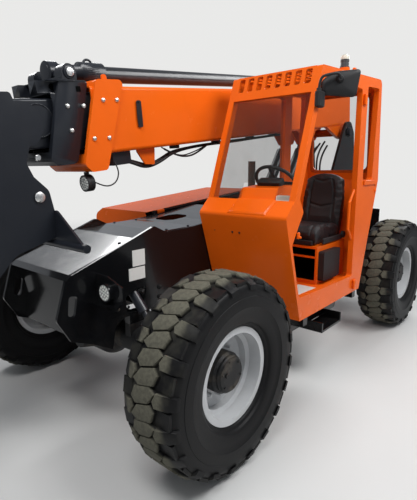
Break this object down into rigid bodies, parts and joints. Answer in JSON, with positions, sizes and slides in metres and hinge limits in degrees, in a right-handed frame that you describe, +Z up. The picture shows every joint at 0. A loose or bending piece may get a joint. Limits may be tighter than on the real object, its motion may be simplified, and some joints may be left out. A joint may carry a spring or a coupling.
{
  "type": "telehandler",
  "caption": "Telescopic handler with an open side cab, three-section boom with gooseneck head and fork carriage, steered axles and lugged tyres.",
  "frame": {"origin": "on the ground, below the middle of the whole machine with its forks", "axes": "+X forward towards the forks, +Y to the operator's left, +Z up"},
  "size_m": [6.23, 2.4795, 2.6582],
  "materials": {
    "orange_paint": "gloss orange paint",
    "black_paint": "semi-gloss black paint",
    "axle_black": "black paint on castings, dusty",
    "cast_engine": "painted castings",
    "dark_steel": "heat-dulled steel",
    "fork_steel": "black paint, worn at the heels",
    "chrome_rod": "hard chrome",
    "rim_silver": "silver-grey paint",
    "tyre_rubber": "dusty black rubber",
    "seat_vinyl": "black vinyl",
    "black_plastic": "grained black plastic",
    "lamp_black": "black lamp housing",
    "lamp_red": "red lens",
    "beacon_lens": "pale lens",
    "clear_glass": "clear safety glass",
    "sensor_grey": "pale grey paint",
    "sign_white": "blank white plate"
  },
  "bodies": {
    "chassis": {"chassis_frame": "black_paint", "front_deck": "black_paint", "engine_tray": "black_paint", "engine_block": "cast_engine", "fuel_tank": "black_paint", "counterweight": "black_paint", "headlamps": "lamp_black", "tail_lamps": "lamp_red", "blank_plates": "sign_white", "exhaust": "dark_steel", "axle_front": "axle_black", "axle_rear": "axle_black", "cab_frame": "orange_paint", "cab_cowl": "orange_paint", "cab_floor": "orange_paint", "seat_box": "orange_paint", "seat_cushion": "seat_vinyl", "seat_back": "seat_vinyl", "steering_wheel": "black_plastic", "mirror": "black_plastic", "beacon": "beacon_lens", "axle_locks": "black_paint", "cab_glass": "clear_glass", "document_box": "black_plastic"},
    "hood": {"engine_hood": "orange_paint"},
    "outer_boom": {"outer_boom": "orange_paint", "extend_rod": "chrome_rod", "boom_sensors": "sensor_grey", "work_lamp": "lamp_black"},
    "mid_boom": {"mid_boom": "black_paint", "extend_barrel": "black_paint"},
    "inner_boom": {"inner_boom": "black_paint"},
    "coupler": {"coupler": "black_paint", "carriage": "black_paint", "forks": "fork_steel"},
    "tilt_barrel": {"tilt_barrel": "black_paint"},
    "tilt_rod": {"tilt_rod": "chrome_rod"},
    "lift_barrels": {"lift_barrels": "black_paint"},
    "lift_rods": {"lift_rods": "chrome_rod"},
    "steer_rod_front": {"steer_rod_front": "chrome_rod"},
    "steer_rod_rear": {"steer_rod_rear": "chrome_rod"},
    "knuckle_fl": {"knuckle_fl": "axle_black"},
    "wheel_fl": {"tyre_fl": "tyre_rubber", "rim_fl": "rim_silver", "hub_fl": "axle_black"},
    "knuckle_fr": {"knuckle_fr": "axle_black"},
    "wheel_fr": {"tyre_fr": "tyre_rubber", "rim_fr": "rim_silver", "hub_fr": "axle_black"},
    "knuckle_rl": {"knuckle_rl": "axle_black"},
    "wheel_rl": {"tyre_rl": "tyre_rubber", "rim_rl": "rim_silver", "hub_rl": "axle_black"},
    "knuckle_rr": {"knuckle_rr": "axle_black"},
    "wheel_rr": {"tyre_rr": "tyre_rubber", "rim_rr": "rim_silver", "hub_rr": "axle_black"}
  },
  "joints": [
    {"name": "boom_lift", "type": "hinge", "parent": "chassis", "child": "outer_boom", "pos_m": [-2.715, 0, 2.13], "axis": [0, -1, 0], "range_deg": [0, 70]},
    {"name": "boom_extend", "type": "slide", "parent": "outer_boom", "child": "mid_boom", "axis": [0.9932, 0, -0.1167], "range_m": [0, 2]},
    {"name": "inner_extend", "type": "slide", "parent": "mid_boom", "child": "inner_boom", "axis": [0.9932, 0, -0.1167], "range_m": [0, 2]},
    {"name": "coupler_tilt", "type": "hinge", "parent": "inner_boom", "child": "coupler", "pos_m": [1.835, 0, 0.76], "axis": [0, -1, 0], "range_deg": [-85, 15]},
    {"name": "tilt_barrel_swing", "type": "hinge", "parent": "inner_boom", "child": "tilt_barrel", "pos_m": [1.245, 0, 1.552], "axis": [0, -1, 0], "range_deg": [-6, 6]},
    {"name": "tilt_rod_slide", "type": "slide", "parent": "tilt_barrel", "child": "tilt_rod", "axis": [0.7275, 0, -0.6861], "range_m": [-0.15, 0.45]},
    {"name": "lift_barrel_swing", "type": "hinge", "parent": "chassis", "child": "lift_barrels", "pos_m": [-1.215, 0, 1], "axis": [0, -1, 0], "range_deg": [-8, 2]},
    {"name": "lift_rod_slide", "type": "slide", "parent": "lift_barrels", "child": "lift_rods", "axis": [-0.5696, 0, 0.8219], "range_m": [0, 0.95]},
    {"name": "hood_lid", "type": "hinge", "parent": "chassis", "child": "hood", "pos_m": [-0.865, -0.371, 1.3882], "axis": [-0.9958, 0, 0.0916], "range_deg": [0, 50]},
    {"name": "steer_fl", "type": "hinge", "parent": "chassis", "child": "knuckle_fl", "pos_m": [0.685, 0.78, 0.5725], "axis": [0, 0, 1], "range_deg": [-32, 32]},
    {"name": "roll_fl", "type": "hinge", "parent": "knuckle_fl", "child": "wheel_fl", "pos_m": [0.685, 1.022, 0.5725], "axis": [0, 1, 0], "continuous": true},
    {"name": "steer_fr", "type": "hinge", "parent": "chassis", "child": "knuckle_fr", "pos_m": [0.685, -0.78, 0.5725], "axis": [0, 0, 1], "range_deg": [-32, 32]},
    {"name": "roll_fr", "type": "hinge", "parent": "knuckle_fr", "child": "wheel_fr", "pos_m": [0.685, -1.022, 0.5725], "axis": [0, 1, 0], "continuous": true},
    {"name": "steer_rl", "type": "hinge", "parent": "chassis", "child": "knuckle_rl", "pos_m": [-2.335, 0.78, 0.5725], "axis": [0, 0, 1], "range_deg": [-32, 32]},
    {"name": "roll_rl", "type": "hinge", "parent": "knuckle_rl", "child": "wheel_rl", "pos_m": [-2.335, 1.022, 0.5725], "axis": [0, 1, 0], "continuous": true},
    {"name": "steer_rr", "type": "hinge", "parent": "chassis", "child": "knuckle_rr", "pos_m": [-2.335, -0.78, 0.5725], "axis": [0, 0, 1], "range_deg": [-32, 32]},
    {"name": "roll_rr", "type": "hinge", "parent": "knuckle_rr", "child": "wheel_rr", "pos_m": [-2.335, -1.022, 0.5725], "axis": [0, 1, 0], "continuous": true},
    {"name": "steer_rod_front_slide", "type": "slide", "parent": "chassis", "child": "steer_rod_front", "axis": [0, 1, 0], "range_m": [-0.09, 0.09]},
    {"name": "steer_rod_rear_slide", "type": "slide", "parent": "chassis", "child": "steer_rod_rear", "axis": [0, 1, 0], "range_m": [-0.09, 0.09]}
  ],
  "couplings": [
    {"joint": "inner_extend", "follows": "boom_extend", "ratio": 1},
    {"joint": "tilt_barrel_swing", "follows": "coupler_tilt", "ratio": 0.02},
    {"joint": "tilt_rod_slide", "follows": "coupler_tilt", "m_per_rad": -0.19014},
    {"joint": "lift_barrel_swing", "follows": "boom_lift", "ratio": -0.050728},
    {"joint": "lift_rod_slide", "follows": "boom_lift", "m_per_rad": 0.75508},
    {"joint": "steer_fr", "follows": "steer_fl", "ratio": 1},
    {"joint": "steer_rod_front_slide", "follows": "steer_fl", "m_per_rad": -0.15655},
    {"joint": "steer_rr", "follows": "steer_rl", "ratio": 1},
    {"joint": "steer_rod_rear_slide", "follows": "steer_rl", "m_per_rad": -0.15655}
  ]
}
